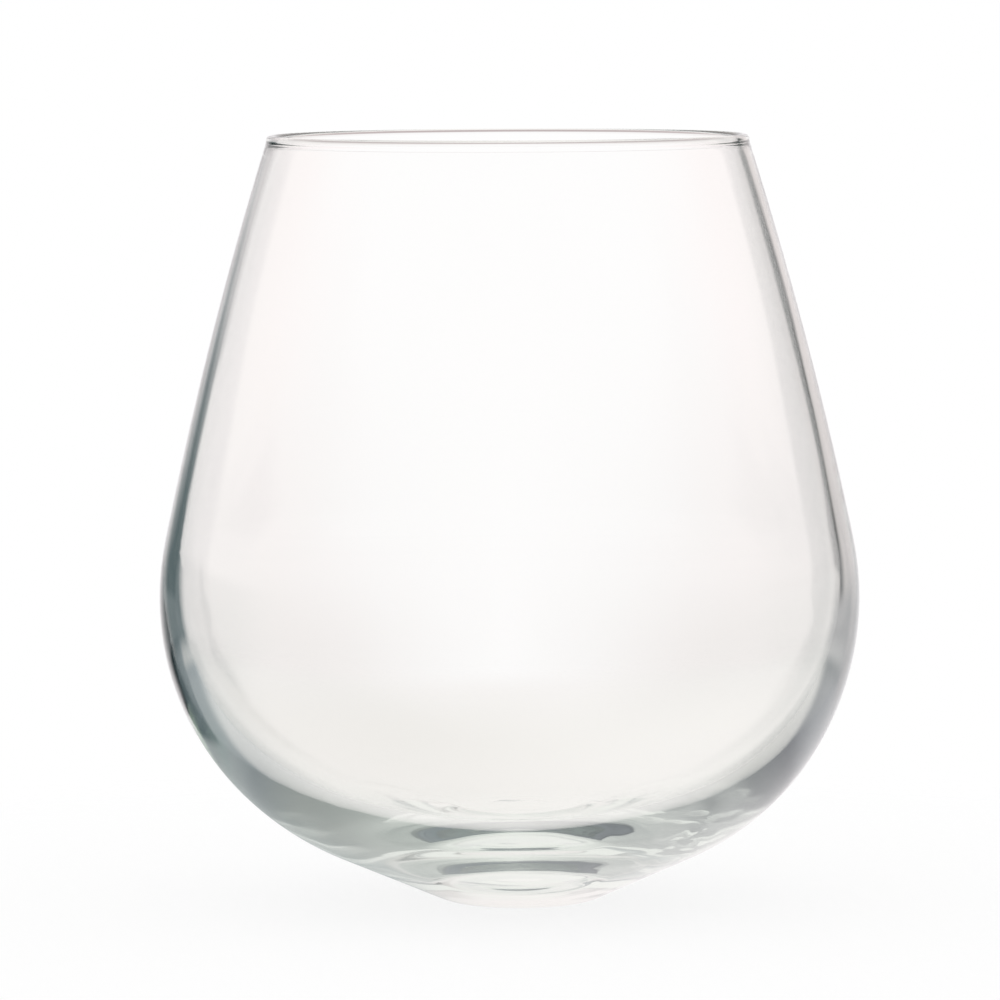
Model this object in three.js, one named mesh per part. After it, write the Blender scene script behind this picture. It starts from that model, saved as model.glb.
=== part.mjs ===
import * as THREE from 'three';

// A stemless rocking glass, blown in one piece and turned about +Z.
// Millimetres. The origin is the middle of the flat tip that it stands on.

// Outside
const height = 100.8;
const wallArcRadius = 540; // the slight swell between belly and lip
const bellyRadius = 46;
const bellyArcRadius = 36.9;
const coneAngle = THREE.MathUtils.degToRad(23.5); // slope of the cone above the table
const tipRoundRadius = 9;
const tipRadius = 7.5; // outer edge of the flat tip

// Lip: a round bead along the top of the thin wall
const lipRadius = 30.9; // to the middle of the bead
const lipThickness = 1.15; // of the wall under the bead
const beadRadius = 0.9;
const beadFilletRadius = 3;

// Hollow in the middle of the tip, so that the glass stands on a ring
const hollowRadius = 5.2;
const hollowDepth = 0.3;
const hollowEdgeRadius = 4;

// Inside
const bellyWall = 2.33;
const innerWallArcRadius = 420;
const innerBellyArcRadius = 31.6;
const floorHeight = 9.5; // above the table, in the middle
const floorArcRadius = 98;

// Largest distance between a true round and its facets
const facetDepth = 0.04;

// Steps that keep an arc of this radius within the facet depth
function stepsFor(radius, sweep) {
  return Math.ceil(Math.abs(sweep) / (2 * Math.acos(1 - facetDepth / radius)));
}

// Points of an arc in the section plane, where x is the distance from the axis and y the height
function arcPoints(centre, radius, from, to) {
  const arc = new THREE.EllipseCurve(centre.x, centre.y, radius, radius, from, to, to < from);
  return arc.getPoints(stepsFor(radius, to - from));
}

// Point at these distances from two others, on the right (1) or the left (-1) of the way between them
function pointAtReaches(first, firstReach, second, secondReach, side) {
  const span = second.clone().sub(first);
  const distance = span.length();
  const along = (firstReach ** 2 - secondReach ** 2 + distance ** 2) / (2 * distance);
  const across = Math.sqrt(firstReach ** 2 - along ** 2);
  const unit = span.divideScalar(distance);
  const right = new THREE.Vector2(unit.y, -unit.x);
  return first.clone().addScaledVector(unit, along).addScaledVector(right, side * across);
}

// Centre of an arc that runs smoothly from a lower circle to an upper one and bulges away from the axis.
// It wraps round a circle of positive radius and passes inside one of negative radius.
function smoothArcCentre(radius, lower, lowerRadius, upper, upperRadius) {
  return pointAtReaches(lower, radius - lowerRadius, upper, radius - upperRadius, -1);
}

// Direction from one point of the section to another
function angleTo(from, to) {
  return Math.atan2(to.y - from.y, to.x - from.x);
}

// Middle of the bead, which the wall would run through
const lipCentre = new THREE.Vector2(lipRadius, height - beadRadius);
const halfWall = lipThickness / 2;

// Outer belly: its height follows from the cone, which touches the tip round and the belly round
const tipRoundCentre = new THREE.Vector2(tipRadius, tipRoundRadius);
const bellyCentreRadius = bellyRadius - bellyArcRadius;
const coneRise = (bellyCentreRadius - tipRadius) * Math.sin(coneAngle) + bellyArcRadius - tipRoundRadius;
const bellyCentre = new THREE.Vector2(bellyCentreRadius, tipRoundRadius + coneRise / Math.cos(coneAngle));
const wallCentre = smoothArcCentre(wallArcRadius, bellyCentre, bellyArcRadius, lipCentre, halfWall);

// Inner belly: its height follows from the floor, which runs into it
const innerBellyCentreRadius = bellyRadius - bellyWall - innerBellyArcRadius;
const floorCentre = new THREE.Vector2(0, floorHeight + floorArcRadius);
const floorReach = Math.sqrt((floorArcRadius - innerBellyArcRadius) ** 2 - innerBellyCentreRadius ** 2);
const innerBellyCentre = new THREE.Vector2(innerBellyCentreRadius, floorCentre.y - floorReach);
const innerWallCentre = smoothArcCentre(
  innerWallArcRadius, innerBellyCentre, innerBellyArcRadius, lipCentre, -halfWall,
);

// Bead fillets: hollow rounds that lead either face of the wall out to the bead
const beadReach = beadRadius + beadFilletRadius;
const outerReach = wallArcRadius + beadFilletRadius;
const innerReach = innerWallArcRadius - beadFilletRadius;
const outerFilletCentre = pointAtReaches(wallCentre, outerReach, lipCentre, beadReach, 1);
const innerFilletCentre = pointAtReaches(innerWallCentre, innerReach, lipCentre, beadReach, 1);

// Tip hollow: a shallow dome that runs into the ring by a small round
const hollowEdgeCentre = new THREE.Vector2(hollowRadius, hollowEdgeRadius);
const hollowChord = hollowRadius ** 2 + hollowDepth ** 2 - 2 * hollowEdgeRadius * hollowDepth;
const hollowArcRadius = hollowChord / (2 * hollowDepth);
const hollowCentre = new THREE.Vector2(0, hollowDepth - hollowArcRadius);

// Angles where one arc runs into the next
const down = -Math.PI / 2;
const up = Math.PI / 2;
const hollowEdgeAngle = angleTo(hollowEdgeCentre, hollowCentre);
const coneNormal = down + coneAngle;
const wallFoot = angleTo(wallCentre, bellyCentre);
const wallTop = angleTo(wallCentre, outerFilletCentre);
const beadStart = angleTo(lipCentre, outerFilletCentre);
const beadEnd = angleTo(lipCentre, innerFilletCentre) + 2 * Math.PI;
const innerWallTop = angleTo(innerWallCentre, innerFilletCentre);
const innerWallFoot = angleTo(innerWallCentre, innerBellyCentre);
const floorEdge = angleTo(floorCentre, innerBellyCentre);

// Half section, from the middle of the hollow over tip, cone, belly, wall and bead, and back down inside
function glassSection() {
  const runs = [
    arcPoints(hollowCentre, hollowArcRadius, up, hollowEdgeAngle + Math.PI),
    arcPoints(hollowEdgeCentre, hollowEdgeRadius, hollowEdgeAngle, down),
    arcPoints(tipRoundCentre, tipRoundRadius, down, coneNormal),
    arcPoints(bellyCentre, bellyArcRadius, coneNormal, wallFoot),
    arcPoints(wallCentre, wallArcRadius, wallFoot, wallTop),
    arcPoints(outerFilletCentre, beadFilletRadius, wallTop + Math.PI, beadStart + Math.PI),
    arcPoints(lipCentre, beadRadius, beadStart, up),
    arcPoints(lipCentre, beadRadius, up, beadEnd),
    arcPoints(innerFilletCentre, beadFilletRadius, beadEnd - Math.PI, innerWallTop),
    arcPoints(innerWallCentre, innerWallArcRadius, innerWallTop, innerWallFoot),
    arcPoints(innerBellyCentre, innerBellyArcRadius, innerWallFoot, floorEdge),
    arcPoints(floorCentre, floorArcRadius, floorEdge, down),
  ];
  const points = runs.flat();
  points.at(0).x = 0;
  points.at(-1).x = 0;
  const samePoint = facetDepth / 10;
  return points.filter((point, i) => i === 0 || point.distanceTo(points[i - 1]) > samePoint);
}

function makeGlass() {
  const facetsRound = stepsFor(bellyRadius, 2 * Math.PI);
  const geometry = new THREE.LatheGeometry(glassSection(), facetsRound);
  geometry.rotateX(Math.PI / 2);
  const clearGlass = new THREE.MeshStandardMaterial({
    color: 0xe6efec,
    roughness: 0.03,
    metalness: 0,
    transparent: true,
    opacity: 0.3,
  });
  const glass = new THREE.Mesh(geometry, clearGlass);
  glass.name = 'glass_body';
  return glass;
}

const rockingGlass = new THREE.Group();
rockingGlass.add(makeGlass());

export default rockingGlass;
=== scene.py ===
import math

import bmesh
import bpy
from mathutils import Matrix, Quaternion, Vector, noise


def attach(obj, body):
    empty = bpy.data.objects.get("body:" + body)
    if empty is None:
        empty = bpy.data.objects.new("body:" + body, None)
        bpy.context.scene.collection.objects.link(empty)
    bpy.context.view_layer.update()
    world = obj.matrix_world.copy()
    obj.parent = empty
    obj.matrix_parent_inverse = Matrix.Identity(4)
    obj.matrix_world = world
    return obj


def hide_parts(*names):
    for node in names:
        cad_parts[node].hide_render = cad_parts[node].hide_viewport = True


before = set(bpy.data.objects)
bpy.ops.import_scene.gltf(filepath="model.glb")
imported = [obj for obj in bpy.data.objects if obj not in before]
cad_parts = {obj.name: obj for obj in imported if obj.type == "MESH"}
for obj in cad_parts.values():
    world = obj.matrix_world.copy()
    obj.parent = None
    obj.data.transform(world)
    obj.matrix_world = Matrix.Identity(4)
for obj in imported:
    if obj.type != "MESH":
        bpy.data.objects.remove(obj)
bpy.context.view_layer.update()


# Shader maths written as Python: wraps one output socket of a node tree
class Shade:
    def __init__(self, tree, socket=None):
        self.tree = tree
        self.socket = socket

    # adds any node: its type, its settings, then the values or links of its inputs
    def add(self, nodeType, settings=None, inputs=None, output=0):
        node = self.tree.nodes.new(nodeType)
        for name, value in (settings or {}).items():
            if name == "stops":
                ramp = node.color_ramp
                while len(ramp.elements) < len(value):
                    ramp.elements.new(1.0)
                for element, (place, colour) in zip(ramp.elements, value):
                    element.position = place
                    element.color = colour
            else:
                setattr(node, name, value)
        for name, value in (inputs or {}).items():
            if isinstance(value, Shade):
                self.tree.links.new(value.socket, node.inputs[name])
            else:
                node.inputs[name].default_value = value
        return Shade(self.tree, node.outputs[output] if len(node.outputs) else None)

    # another output of the same node
    def out(self, name):
        return Shade(self.tree, self.socket.node.outputs[name])

    def mix(self, factor, first, second):
        return self.add("ShaderNodeMix", {"data_type": "RGBA"}, {0: factor, 6: first, 7: second}, 2)

    def maths(self, operation, *values):
        return self.add("ShaderNodeMath", {"operation": operation}, dict(enumerate(values)))

    def __add__(self, other):
        return self.maths("ADD", self, other)

    __radd__ = __add__

    def __sub__(self, other):
        return self.maths("SUBTRACT", self, other)

    def __rsub__(self, other):
        return self.maths("SUBTRACT", other, self)

    def __mul__(self, other):
        return self.maths("MULTIPLY", self, other)

    __rmul__ = __mul__

    def __abs__(self):
        return self.maths("ABSOLUTE", self)

    # 0 at none and before it, 1 at full and past it, eased between. Full may lie below none.
    def ramp(self, none, full):
        return self.add(
            "ShaderNodeMapRange", {"interpolation_type": "SMOOTHSTEP"},
            {"Value": self, "From Min": none, "From Max": full},
        )


def newTree(owner):
    owner.use_nodes = True
    owner.node_tree.nodes.clear()
    return Shade(owner.node_tree)


def finishPiece(name, bm, material):
    mesh = bpy.data.meshes.new(name)
    bm.to_mesh(mesh)
    bm.free()
    mesh.materials.append(material)
    piece = bpy.data.objects.new(name, mesh)
    bpy.context.scene.collection.objects.link(piece)
    return piece


# Two angles in degrees, as radians
def turns(first, second):
    return math.radians(first), math.radians(second)


# Glass: section sizes in metres, those of the solid but for a finer bead, a lower floor and a narrower tip
glass = {
    "height": 0.1008,
    "beadRadius": 0.0007,   # round bead of the lip
    "beadFillet": 0.003,
    "lipRadius": 0.0309,    # to the middle of the bead
    "lipThickness": 0.00115,
    "wallArc": 0.540,
    "bellyRadius": 0.0459,
    "bellyArc": 0.0369,
    "coneAngle": math.radians(23.5),
    "tipRound": 0.009,
    "tipRadius": 0.0072,
    "hollowRadius": 0.0052,
    "hollowDepth": 0.0003,
    "hollowEdge": 0.004,
    "bellyWall": 0.00233,
    "innerWallArc": 0.420,
    "innerBellyArc": 0.0316,
    "floorHeight": 0.0085,
    "floorArc": 0.080,
    "chord": 0.0015,        # longest facet along the section
    "turn": math.radians(5),    # largest turn between two facets
    "stepsRound": 360,
    "sameSpot": 0.00001,
    "inwardFacing": -0.2,   # how far a face turns to the axis to be the inner wall
    "upwardFacing": 0.5,    # how far it turns up to be the inner floor, below the next height
    "floorTop": 0.03,
    "rippleDepth": 0.00003,
    "rippleSize": 0.016,
    "swirlDepth": 0.00016,  # uneven patch low on the right
    "swirlSize": 0.0035,
    "swirlAcross": (0.002, 0.011),  # from none to full, to the right and downwards
    "swirlDown": (0.0128, 0.01024),
    "tipShift": 0.0013,     # the tip sits a little off the axis
    "tipShiftTop": 0.034,
    "smearSize": 30.0,
    "smearDetail": 3.0,
    "smearSpan": (0.5, 0.75),
    "smear": 0.04,
    "waveSize": 110.0,
    "waveDetail": 2.0,
    "waveDepth": 0.000006,
    "colour": (1.0, 1.0, 1.0, 1.0),
    "tint": (0.60, 0.74, 0.64, 1.0),
    "tintDensity": 4.0,     # absorption per metre
    "ior": 1.52,
}


# Centre of a circle at given distances from a lower and an upper point, on the outer or the inner side of them
def pointAt(lower, lowerReach, upper, upperReach, outer):
    span = upper - lower
    along = (lowerReach ** 2 - upperReach ** 2 + span.length_squared) / (2 * span.length)
    across = math.sqrt(lowerReach ** 2 - along ** 2)
    unit = span.normalized()
    return lower + unit * along + Vector((unit.y, -unit.x)) * (across if outer else -across)


def angleTo(start, end):
    return math.atan2(end.y - start.y, end.x - start.x)


# The same direction as the end angle, less than half a turn from the first
def nearTurn(first, end):
    return first + (end - first + math.pi) % (2 * math.pi) - math.pi


# Section arcs as centre, radius, first angle and last angle, from the tip's hollow to the inner floor
def glassArcs(g):
    down, up = -math.pi / 2, math.pi / 2
    half = g["lipThickness"] / 2
    lip = Vector((g["lipRadius"], g["height"] - g["beadRadius"]))
    tip = Vector((g["tipRadius"], g["tipRound"]))
    bellyX = g["bellyRadius"] - g["bellyArc"]
    coneRise = (bellyX - tip.x) * math.sin(g["coneAngle"]) + g["bellyArc"] - g["tipRound"]
    belly = Vector((bellyX, g["tipRound"] + coneRise / math.cos(g["coneAngle"])))
    wall = pointAt(belly, g["wallArc"] - g["bellyArc"], lip, g["wallArc"] - half, False)
    innerX = g["bellyRadius"] - g["bellyWall"] - g["innerBellyArc"]
    base = Vector((0, g["floorHeight"] + g["floorArc"]))
    innerDrop = math.sqrt((g["floorArc"] - g["innerBellyArc"]) ** 2 - innerX ** 2)
    inner = Vector((innerX, base.y - innerDrop))
    innerWallReach = g["innerWallArc"] - g["innerBellyArc"]
    innerWall = pointAt(inner, innerWallReach, lip, g["innerWallArc"] + half, False)
    reach = g["beadRadius"] + g["beadFillet"]
    outerFillet = pointAt(wall, g["wallArc"] + g["beadFillet"], lip, reach, True)
    innerFillet = pointAt(innerWall, g["innerWallArc"] - g["beadFillet"], lip, reach, True)
    edge = Vector((g["hollowRadius"], g["hollowEdge"]))
    chord = edge.x ** 2 + g["hollowDepth"] ** 2 - 2 * edge.y * g["hollowDepth"]
    hollowArc = chord / (2 * g["hollowDepth"])
    hollow = Vector((0, g["hollowDepth"] - hollowArc))
    edgeTurn = angleTo(edge, hollow)
    coneNormal = down + g["coneAngle"]
    wallFoot, wallTop = angleTo(wall, belly), angleTo(wall, outerFillet)
    innerTop, innerFoot = angleTo(innerWall, innerFillet), angleTo(innerWall, inner)
    beadStart, beadEnd = angleTo(lip, outerFillet), angleTo(lip, innerFillet)
    floorEdge = angleTo(base, inner)
    outerStart, innerStart = wallTop + math.pi, beadEnd + math.pi
    return [
        (hollow, hollowArc, up, edgeTurn + math.pi),
        (edge, g["hollowEdge"], edgeTurn, down),
        (tip, g["tipRound"], down, coneNormal),
        (belly, g["bellyArc"], coneNormal, wallFoot),
        (wall, g["wallArc"], wallFoot, wallTop),
        (outerFillet, g["beadFillet"], outerStart, nearTurn(outerStart, beadStart + math.pi)),
        (lip, g["beadRadius"], beadStart, beadEnd + 2 * math.pi),
        (innerFillet, g["beadFillet"], innerStart, nearTurn(innerStart, innerTop)),
        (innerWall, g["innerWallArc"], innerTop, innerFoot),
        (inner, g["innerBellyArc"], innerFoot, floorEdge),
        (base, g["floorArc"], floorEdge, down),
    ]


# Spins one vertex into each arc, and joins the arcs end to start
def glassSection(bm, g):
    last = None
    for centre, radius, first, end in glassArcs(g):
        start = centre + radius * Vector((math.cos(first), math.sin(first)))
        vertex = bm.verts.new((start.x, 0, start.y))
        if last:
            bm.edges.new((last, vertex))
        sweep = end - first
        steps = math.ceil(max(abs(sweep) * radius / g["chord"], abs(sweep) / g["turn"]))
        run = bmesh.ops.spin(
            bm, geom=[vertex], cent=(centre.x, 0, centre.y), axis=(0, -1, 0), angle=sweep, steps=steps,
        )
        last = run["geom_last"][0]


# From 0 at none to 1 at full
def eased(value, none, full):
    share = min(max((value - none) / (full - none), 0), 1)
    return share * share * (3 - 2 * share)


# Blown glass is never quite even: shallow ripples inside, a swirl low on one side, and the tip off the axis
def unevenGlass(bm, g):
    bm.normal_update()
    for vertex in bm.verts:
        spot = vertex.co.copy()
        outward = Vector((spot.x, spot.y, 0)).normalized()
        isWall = vertex.normal.dot(outward) < g["inwardFacing"]
        isFloor = vertex.normal.z > g["upwardFacing"] and spot.z < g["floorTop"]
        if isWall or isFloor:
            depth = noise.noise(spot / g["rippleSize"]) * g["rippleDepth"]
            swirl = eased(spot.z, *g["swirlDown"]) * eased(spot.x, *g["swirlAcross"])
            depth += noise.noise(spot / g["swirlSize"]) * swirl * g["swirlDepth"]
            vertex.co += vertex.normal * depth
        vertex.co.x += g["tipShift"] * max(0, 1 - spot.z / g["tipShiftTop"]) ** 2


def makeGlass(g):
    bm = bmesh.new()
    glassSection(bm, g)
    bmesh.ops.remove_doubles(bm, verts=bm.verts, dist=g["sameSpot"])
    bmesh.ops.spin(
        bm, geom=bm.verts[:] + bm.edges[:], cent=(0, 0, 0), axis=(0, 0, 1),
        angle=2 * math.pi, steps=g["stepsRound"], use_merge=True,
    )
    bmesh.ops.remove_doubles(bm, verts=bm.verts, dist=g["sameSpot"])
    bmesh.ops.recalc_face_normals(bm, faces=bm.faces)
    unevenGlass(bm, g)
    for face in bm.faces:
        face.smooth = True
    piece = finishPiece("glass", bm, glassMaterial(g))
    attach(piece, "root")
    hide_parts("glass_body")
    print("glass:", len(piece.data.polygons), "faces")


# Clear glass with faint smears in its roughness and a fine wave in its surface
def glassMaterial(g):
    material = bpy.data.materials.new("clearGlass")
    tree = newTree(material)
    place = tree.add("ShaderNodeTexCoord", output="Object")
    smear = tree.add("ShaderNodeTexNoise", {}, {
        "Vector": place, "Scale": g["smearSize"], "Detail": g["smearDetail"],
    })
    wave = tree.add("ShaderNodeTexNoise", {}, {
        "Vector": place, "Scale": g["waveSize"], "Detail": g["waveDetail"],
    })
    bump = tree.add("ShaderNodeBump", {}, {"Distance": g["waveDepth"], "Height": wave})
    surface = tree.add("ShaderNodeBsdfPrincipled", {}, {
        "Base Color": g["colour"],
        "Roughness": smear.ramp(*g["smearSpan"]) * g["smear"],
        "IOR": g["ior"],
        "Transmission Weight": 1.0,
        "Normal": bump,
    })
    inside = tree.add("ShaderNodeVolumeAbsorption", {}, {"Color": g["tint"], "Density": g["tintDensity"]})
    tree.add("ShaderNodeOutputMaterial", {}, {"Surface": surface, "Volume": inside})
    return material


# What kind of ray asks: the camera's own, one come straight through the glass, or one that has been mirrored
# by it. The rest light the floor and the glass as plain white would.
def glassRays(tree):
    camera = tree.add("ShaderNodeLightPath", output="Is Camera Ray")
    bounces = camera.out("Glossy Depth")
    clean = camera.maths("LESS_THAN", camera.out("Diffuse Depth"), 0.5)  # half tells none from one
    turned = camera.maths("GREATER_THAN", bounces, 0.5)
    through = camera.out("Is Transmission Ray") * clean
    return {
        "camera": camera,
        "straight": through * (1 - turned),
        "mirrored": through * turned,
        "outside": camera.out("Is Reflection Ray") * clean,
        "bounces": bounces,
    }


# Floor: a pale disc that fades into the white behind it. Tones are what a ray from the glass finds there: an
# unlit glow of painted shade and painted reflections, seen only in the glass.
# A turn is an angle from straight back, positive to the right, and a pair of places runs from none to full.
floor = {
    "radius": 0.18,
    "segments": 96,
    "fade": (0.12, 0.16),   # reach over which it fades out
    "seen": (1.0, 1.0, 1.0, 1.0),
    "seenGlow": 0.85,       # share of the floor's own white, which leaves the shadow faint
    "pale": (0.90, 0.90, 0.89, 1.0),
    "sideBlend": (-0.02, 0.02),
    "front": (0.97, 0.94, 0.93, 1.0),
    "backBlend": (-0.03, 0.01),
    # Painted shade seen through the glass: darker near its foot, where its shadow lies
    "straightLeft": (0.85, 0.835, 0.80, 1.0),
    "straightRight": (0.92, 0.905, 0.875, 1.0),
    "straightFar": (0.94, 0.92, 0.91, 1.0),
    "straightFarReach": (0.05, 0.16),
    "straightAside": (0.86, 0.845, 0.825, 1.0),
    "straightAsideTurn": turns(4, 16),
    "mirrorMiddle": (0.93, 0.93, 0.89, 1.0),
    "middleWidth": (0.04, 0.02),
    # Painted reflections for the inside of the wall: dark near the glass, paler further out
    "mirrorLeft": (0.36, 0.40, 0.41, 1.0),
    "mirrorLeftFar": (0.60, 0.61, 0.59, 1.0),
    "leftFarReach": (0.105, 0.12),
    "leftFarTurn": turns(-44.5, -48),
    "mirrorLeftNear": (0.80, 0.80, 0.78, 1.0),
    "leftNearTurn": turns(-57, -70),
    "mirrorRight": (0.27, 0.29, 0.29, 1.0),
    "mirrorRightFar": (0.58, 0.58, 0.57, 1.0),
    "rightFarReach": (0.105, 0.125),
    "mirrorRightNear": (0.80, 0.80, 0.76, 1.0),
    "rightNearTurn": turns(53, 64),
    # Painted reflections for the outer surface: darker on the left, with a painted dark screen
    "outsideLeft": (0.52, 0.55, 0.55, 1.0),
    "outsideRight": (1.0, 0.96, 0.97, 1.0),
    "outsideGrazing": (0.95, 0.93, 0.94, 1.0),
    "paintedDarkScreen": (0.03, 0.06, 0.065, 1.0),     # dark screen at the back on the left, between two lines
    "screenSide": (-0.063, -0.071),
    "screenFarSlope": 1.1,
    "screenFar": (-0.049, -0.041),
    "screenNearSlope": 2.8,
    "screenNear": (-0.108, -0.092),
    # Painted tone for light guided round through the base
    "guided": (0.90, 0.90, 0.87, 1.0),
    "guidedBounces": (3.0, 7.0),
}


def makeFloor(f):
    bm = bmesh.new()
    bmesh.ops.create_circle(bm, cap_ends=True, segments=f["segments"], radius=f["radius"])
    piece = finishPiece("floor", bm, floorMaterial(f))
    print("floor: radius", f["radius"])


# Seen straight through the glass
def floorStraight(tree, f, side, turn, reach):
    near = tree.mix(side, f["straightLeft"], f["straightRight"])
    far = tree.mix(abs(turn).ramp(*f["straightAsideTurn"]), f["straightFar"], f["straightAside"])
    return tree.mix(reach.ramp(*f["straightFarReach"]), near, far)


# Mirrored by the inside of the wall
def floorMirrored(tree, f, side, x, turn, reach):
    far = reach.ramp(*f["leftFarReach"]) * turn.ramp(*f["leftFarTurn"])
    left = tree.mix(far, f["mirrorLeft"], f["mirrorLeftFar"])
    left = tree.mix(turn.ramp(*f["leftNearTurn"]), left, f["mirrorLeftNear"])
    right = tree.mix(reach.ramp(*f["rightFarReach"]), f["mirrorRight"], f["mirrorRightFar"])
    right = tree.mix(turn.ramp(*f["rightNearTurn"]), right, f["mirrorRightNear"])
    return tree.mix(abs(x).ramp(*f["middleWidth"]), tree.mix(side, left, right), f["mirrorMiddle"])


# Mirrored by the outer surface
def floorOutside(tree, f, side, x, y):
    far = (y + x * f["screenFarSlope"]).ramp(*f["screenFar"])
    near = (y + x * f["screenNearSlope"]).ramp(*f["screenNear"])
    left = tree.mix(far, f["outsideLeft"], tree.mix(near, f["paintedDarkScreen"], f["outsideGrazing"]))
    left = tree.mix(x.ramp(*f["screenSide"]), f["outsideLeft"], left)
    return tree.mix(side, left, f["outsideRight"])


def floorMaterial(f):
    material = bpy.data.materials.new("paleFloor")
    tree = newTree(material)
    place = tree.add("ShaderNodeTexCoord", output="Object")
    x = tree.add("ShaderNodeSeparateXYZ", {}, {0: place}, "X")
    y = x.out("Y")
    turn = x.maths("ARCTAN2", x, y)
    reach = tree.add("ShaderNodeVectorMath", {"operation": "LENGTH"}, {0: place}, "Value")
    rays = glassRays(tree)
    side = x.ramp(*f["sideBlend"])
    back = y.ramp(*f["backBlend"])
    mirrored = tree.mix(back, f["front"], floorMirrored(tree, f, side, x, turn, reach))
    mirrored = tree.mix(rays["bounces"].ramp(*f["guidedBounces"]), mirrored, f["guided"])
    outside = tree.mix(back, f["front"], floorOutside(tree, f, side, x, y))
    tone = tree.mix(rays["mirrored"], floorStraight(tree, f, side, turn, reach), mirrored)
    tone = tree.mix(rays["outside"], tone, outside)
    # Rays from the glass see the tone as a glow, not lit: painted shade and painted reflections
    glow = tree.add("ShaderNodeEmission", {}, {"Color": tone})
    matt = tree.add("ShaderNodeBsdfDiffuse", {}, {"Color": tree.mix(rays["camera"], f["pale"], f["seen"])})
    white = tree.add("ShaderNodeEmission", {}, {"Color": f["seen"]})
    shown = tree.add("ShaderNodeMixShader", {}, {0: rays["camera"] * f["seenGlow"], 1: matt, 2: white})
    glassy = rays["straight"] + rays["mirrored"] + rays["outside"]
    lit = tree.add("ShaderNodeMixShader", {}, {0: glassy, 1: shown, 2: glow})
    clear = tree.add("ShaderNodeBsdfTransparent")
    mixed = tree.add("ShaderNodeMixShader", {}, {0: reach.ramp(*f["fade"]), 1: lit, 2: clear})
    tree.add("ShaderNodeOutputMaterial", {}, {"Surface": mixed})
    return material


# Studio: plain white for the camera and for the light on the floor and the glass, and tones by direction for
# the rays that come from the glass: painted reflections and painted shade that show only in the glass.
# A turn is an angle from straight back, positive to the right. A rise is the upward part of a direction,
# a depth its part to the back and a side its part to the right. Each pair of them runs from none to full.
studio = {
    "white": (1.0, 1.0, 1.0, 1.0),
    "sideBlend": (-0.1, 0.1),
    # Pinkish painted reflection tone
    "high": (0.99, 0.93, 0.92, 1.0),        # overhead and behind the camera
    "highRise": (0.14, 0.25),
    "backDepth": (-0.2, 0.3),
    "guidedBounces": (3.0, 7.0),
}

# Seen straight through the glass: white, a little warmer aside, and painted shade low down and below
backdropWithPaintedShade = {
    "aside": (1.0, 0.955, 0.95, 1.0),
    "asideTurn": turns(1.5, 5),
    "low": (0.86, 0.835, 0.82, 1.0),
    "lowRise": (-0.05, -0.19),
    "lowTurn": turns(-1, 4.2),
    "below": (0.50, 0.43, 0.43, 1.0),
    "belowRise": (-0.24, -0.42),
    "belowTurn": turns(38, 25),
}


def straightTone(tree, w, white, turn, z):
    away = abs(turn)
    tone = tree.mix(away.ramp(*w["asideTurn"]), white, w["aside"])
    tone = tree.mix(z.ramp(*w["lowRise"]) * away.ramp(*w["lowTurn"]), tone, w["low"])
    return tree.mix(z.ramp(*w["belowRise"]) * away.ramp(*w["belowTurn"]), tone, w["below"])


# Mirrored by the outer surface on the left: painted reflections of a wall that is darker low down, and before
# it a painted dark screen that ends at a bright gap
leftOutside = {
    "wall": (0.87, 0.85, 0.85, 1.0),
    "wallLow": (0.32, 0.35, 0.36, 1.0),
    "wallLowRise": (0.09, 0.03),
    "paintedDarkScreen": (0.03, 0.06, 0.065, 1.0),
    "screenTurn": turns(-39, -35),
    "screenRise": (0.07, 0.02),
    "screenPale": (0.24, 0.28, 0.285, 1.0), # a paler strip across the screen
    "paleTop": (-0.05, -0.08),
    "paleFoot": (-0.16, -0.14),
    "gap": (1.0, 0.97, 0.98, 1.0),
    "gapUpperTurn": turns(-30, -18),
    "gapUpperRise": (-0.01, 0.03),
    "gapTurn": turns(-28, -9),
    "gapLowerTurn": turns(-24.5, -13),
    "gapLowerRise": (-0.14, -0.17),
    "gapTopTurn": turns(-26, -17),
    "gapTopRise": (0.02, 0.06),
}


def leftOutsideTone(tree, w, turn, z):
    wall = tree.mix(z.ramp(*w["wallLowRise"]), w["wall"], w["wallLow"])
    gap = turn.ramp(*w["gapTurn"])
    gap = gap + (turn.ramp(*w["gapUpperTurn"]) - gap) * z.ramp(*w["gapUpperRise"])
    gap = gap + (turn.ramp(*w["gapLowerTurn"]) - gap) * z.ramp(*w["gapLowerRise"])
    paintedDarkScreen = tree.mix(z.ramp(*w["paleTop"]) * z.ramp(*w["paleFoot"]), w["paintedDarkScreen"], w["screenPale"])
    paintedDarkScreen = tree.mix(gap, paintedDarkScreen, w["gap"])
    tone = tree.mix(turn.ramp(*w["screenTurn"]) * z.ramp(*w["screenRise"]), wall, paintedDarkScreen)
    return tree.mix(turn.ramp(*w["gapTopTurn"]) * z.ramp(*w["gapTopRise"]), tone, w["gap"])


# Mirrored by the outer surface on the right: painted reflections of a pale wall that darkens sideways, and of a
# painted dark flag
rightOutside = {
    "back": (1.0, 0.97, 0.98, 1.0),
    "wall": (0.94, 0.88, 0.88, 1.0),
    "wallTurn": turns(12, 22),
    "far": (0.66, 0.64, 0.64, 1.0),
    "farTurn": turns(24, 31),
    "paintedDarkFlag": (0.03, 0.04, 0.04, 1.0),
    "flagTurn": turns(29, 34),
    "flagRise": (0.02, 0.045),
    "flagLean": math.radians(4),
    "flagLeanRise": (0.07, 0.03),
    "aside": (0.52, 0.49, 0.49, 1.0),
    "asideTurn": turns(36, 39.5),
    "asideRise": (0.0, 0.03),
}


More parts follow.
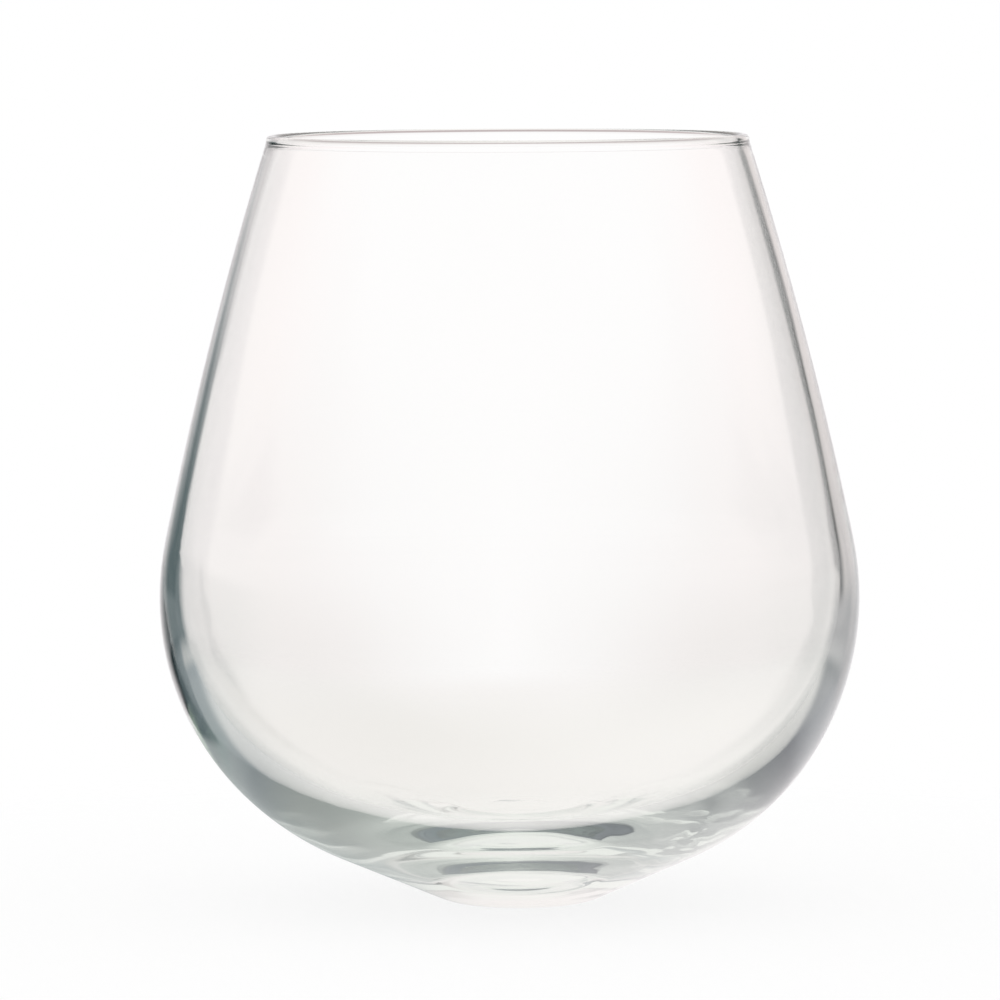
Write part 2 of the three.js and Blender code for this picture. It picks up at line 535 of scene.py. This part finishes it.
def rightOutsideTone(tree, w, turn, z):
    tone = tree.mix(turn.ramp(*w["wallTurn"]), w["back"], w["wall"])
    tone = tree.mix(turn.ramp(*w["farTurn"]), tone, w["far"])
    lean = turn - w["flagLean"] * z.ramp(*w["flagLeanRise"])
    tone = tree.mix(lean.ramp(*w["flagTurn"]) * z.ramp(*w["flagRise"]), tone, w["paintedDarkFlag"])
    return tree.mix(turn.ramp(*w["asideTurn"]) * z.ramp(*w["asideRise"]), tone, w["aside"])


# Mirrored by the inside of the wall: painted reflections of bright walls on the left with a painted dark band
# between them, and of a pale wall on the right, darker low down, with a painted dark flag
paintedInsideReflections = {
    "bright": (0.95, 0.92, 0.90, 1.0),
    # Painted shade for light mirrored more than once
    "more": (0.36, 0.40, 0.41, 1.0),        # for light mirrored more than once
    "moreBounces": (1.5, 2.5),
    "paintedDarkBand": (0.58, 0.55, 0.55, 1.0),
    "bandLow": (0.12, 0.155, 0.16, 1.0),
    "bandLowRise": (0.065, -0.02),
    "bandStart": turns(-5, -20),
    "bandEnd": turns(-33, -28),
    "bandLowLean": math.radians(8),
    "bandLowLeanRise": (-0.035, -0.07),
    "bandHighLean": math.radians(3),
    "bandHighLeanRise": (0.01, 0.04),
    "wall": (0.64, 0.60, 0.58, 1.0),
    "wallTurn": turns(8, 20),
    "wallLow": (0.42, 0.42, 0.42, 1.0),
    "wallLowRise": (-0.1, -0.2),
    "far": (0.92, 0.90, 0.86, 1.0),
    "farTurn": turns(36, 44),
    "paintedDarkFlag": (0.03, 0.04, 0.04, 1.0),
    "flagRise": (-0.2, -0.13),
    "flagStart": turns(21, 27),
    "flagLowLean": math.radians(6.5),
    "flagLowLeanRise": (0.03, -0.03),
    "flagHighLean": math.radians(2.5),
    "flagHighLeanRise": (0.05, 0.08),
    "flagEnd": turns(36.5, 33),
    "flagEndLean": math.radians(4.3),
    "flagEndLeanTop": (0.02, -0.02),
    "flagEndLeanFoot": (-0.11, -0.05),
}


def leftInsideTone(tree, w, turn, z, again):
    bright = tree.mix(again, w["bright"], w["more"])
    paintedDarkBand = tree.mix(z.ramp(*w["bandLowRise"]), w["paintedDarkBand"], w["bandLow"])
    end = turn + w["bandLowLean"] * z.ramp(*w["bandLowLeanRise"])
    end = end + w["bandHighLean"] * z.ramp(*w["bandHighLeanRise"])
    return tree.mix(turn.ramp(*w["bandStart"]) * end.ramp(*w["bandEnd"]), bright, paintedDarkBand)


def rightInsideTone(tree, w, turn, z, again):
    tone = tree.mix(turn.ramp(*w["wallTurn"]), w["bright"], w["wall"])
    tone = tree.mix(z.ramp(*w["wallLowRise"]), tone, w["wallLow"])
    tone = tree.mix(turn.ramp(*w["farTurn"]), tone, tree.mix(again, w["far"], w["more"]))
    start = turn - w["flagLowLean"] * z.ramp(*w["flagLowLeanRise"])
    start = start - w["flagHighLean"] * z.ramp(*w["flagHighLeanRise"])
    end = turn - w["flagEndLean"] * z.ramp(*w["flagEndLeanTop"]) * z.ramp(*w["flagEndLeanFoot"])
    paintedDarkFlag = start.ramp(*w["flagStart"]) * end.ramp(*w["flagEnd"]) * z.ramp(*w["flagRise"])
    return tree.mix(paintedDarkFlag, tone, w["paintedDarkFlag"])


# Painted shade, mostly dark with pale parts, for light guided round through the thick base, by the direction
# that the light leaves in
paintedBaseShading = {
    "low": (0.88, 0.88, 0.85, 1.0),
    "lowRise": (0.01, -0.02),
    "lowDepth": (0.2, 0.4),
    "front": (0.09, 0.11, 0.12, 1.0),
    "frontRise": (0.0, -0.1),
    "frontDepth": (-0.2, -0.45),
    "frontSide": (0.0, 0.2),
    "tones": (              # once round from the front over the left, back being a half
        (0.0, (0.26, 0.27, 0.30, 1.0)),
        (0.17, (0.25, 0.26, 0.29, 1.0)),
        (0.23, (0.10, 0.11, 0.13, 1.0)),
        (0.31, (0.22, 0.23, 0.24, 1.0)),
        (0.36, (0.55, 0.55, 0.55, 1.0)),
        (0.5, (0.95, 0.95, 0.91, 1.0)),
        (0.62, (0.53, 0.55, 0.53, 1.0)),
        (0.675, (0.28, 0.30, 0.29, 1.0)),
        (0.745, (0.21, 0.23, 0.25, 1.0)),
        (0.80, (0.34, 0.36, 0.38, 1.0)),
        (0.82, (0.31, 0.36, 0.37, 1.0)),
        (0.86, (0.26, 0.30, 0.31, 1.0)),
        (0.89, (0.22, 0.25, 0.28, 1.0)),
        (1.0, (0.20, 0.22, 0.25, 1.0)),
    ),
}


def guidedTone(tree, w, x, y, z, turn):
    around = turn * (1 / (2 * math.pi)) + 0.5
    tone = tree.add("ShaderNodeValToRGB", {"stops": w["tones"]}, {"Fac": around})
    tone = tree.mix(z.ramp(*w["lowRise"]) * y.ramp(*w["lowDepth"]), tone, w["low"])
    front = z.ramp(*w["frontRise"]) * y.ramp(*w["frontDepth"]) * x.ramp(*w["frontSide"])
    return tree.mix(front, tone, w["front"])


def makeStudio(s):
    world = bpy.data.worlds.new("studio")
    bpy.context.scene.world = world
    tree = newTree(world)
    direction = tree.add("ShaderNodeTexCoord", output="Generated")
    x = tree.add("ShaderNodeSeparateXYZ", {}, {0: direction}, "X")
    y, z = x.out("Y"), x.out("Z")
    turn = x.maths("ARCTAN2", x, y)
    rays = glassRays(tree)
    side = x.ramp(*s["sideBlend"])
    left = leftOutsideTone(tree, leftOutside, turn, z)
    outside = tree.mix(side, left, rightOutsideTone(tree, rightOutside, turn, z))
    again = rays["bounces"].ramp(*paintedInsideReflections["moreBounces"])
    left = leftInsideTone(tree, paintedInsideReflections, turn, z, again)
    mirrored = tree.mix(side, left, rightInsideTone(tree, paintedInsideReflections, turn, z, again))
    tone = tree.mix(rays["outside"], mirrored, outside)
    tone = tree.mix(z.ramp(*s["highRise"]), tone, s["high"])
    tone = tree.mix(y.ramp(*s["backDepth"]), s["high"], tone)
    guided = guidedTone(tree, paintedBaseShading, x, y, z, turn)
    tone = tree.mix(rays["bounces"].ramp(*s["guidedBounces"]), tone, guided)
    straight = straightTone(tree, backdropWithPaintedShade, s["white"], turn, z)
    straight = tree.mix(rays["straight"], s["white"], straight)
    colour = tree.mix(rays["mirrored"] + rays["outside"], straight, tone)
    background = tree.add("ShaderNodeBackground", {}, {"Color": colour, "Strength": 1.0})
    tree.add("ShaderNodeOutputWorld", {}, {"Surface": background})
    print("studio: white, walls and screens")


# Camera: a long lens a metre away, a little above the lip
camera = {
    "distance": 1.0,
    "height": 0.1262,
    "aim": (-0.0012, 0, 0.0529),
    "seenWidth": 0.13115,
    "sensor": 36.0,
    "roll": math.radians(-0.25),
    "clip": (0.01, 50),
}


def makeCamera(c):
    data = bpy.data.cameras.new("camera")
    data.sensor_width = c["sensor"]
    place = Vector((c["aim"][0], -c["distance"], c["height"]))
    towards = Vector(c["aim"]) - place
    data.lens = c["sensor"] * towards.length / c["seenWidth"]
    data.clip_start, data.clip_end = c["clip"]
    body = bpy.data.objects.new("camera", data)
    body.location = place
    rolled = towards.to_track_quat("-Z", "Y") @ Quaternion((0, 0, 1), c["roll"])
    body.rotation_euler = rolled.to_euler()
    bpy.context.scene.collection.objects.link(body)
    bpy.context.scene.camera = body
    print("camera: lens", round(data.lens, 1), "mm")


# View: enough bounces for the light that runs round in the base
view = {"bounces": 64, "transmission": 24, "glossy": 56, "transparent": 16}


def setView(v):
    scene = bpy.context.scene
    scene.view_settings.view_transform = "Standard"
    scene.cycles.max_bounces = v["bounces"]
    scene.cycles.transmission_bounces = v["transmission"]
    scene.cycles.glossy_bounces = v["glossy"]
    scene.cycles.transparent_max_bounces = v["transparent"]
    print("view: up to", v["bounces"], "bounces")


makeCamera(camera)
makeGlass(glass)
makeFloor(floor)
makeStudio(studio)
setView(view)
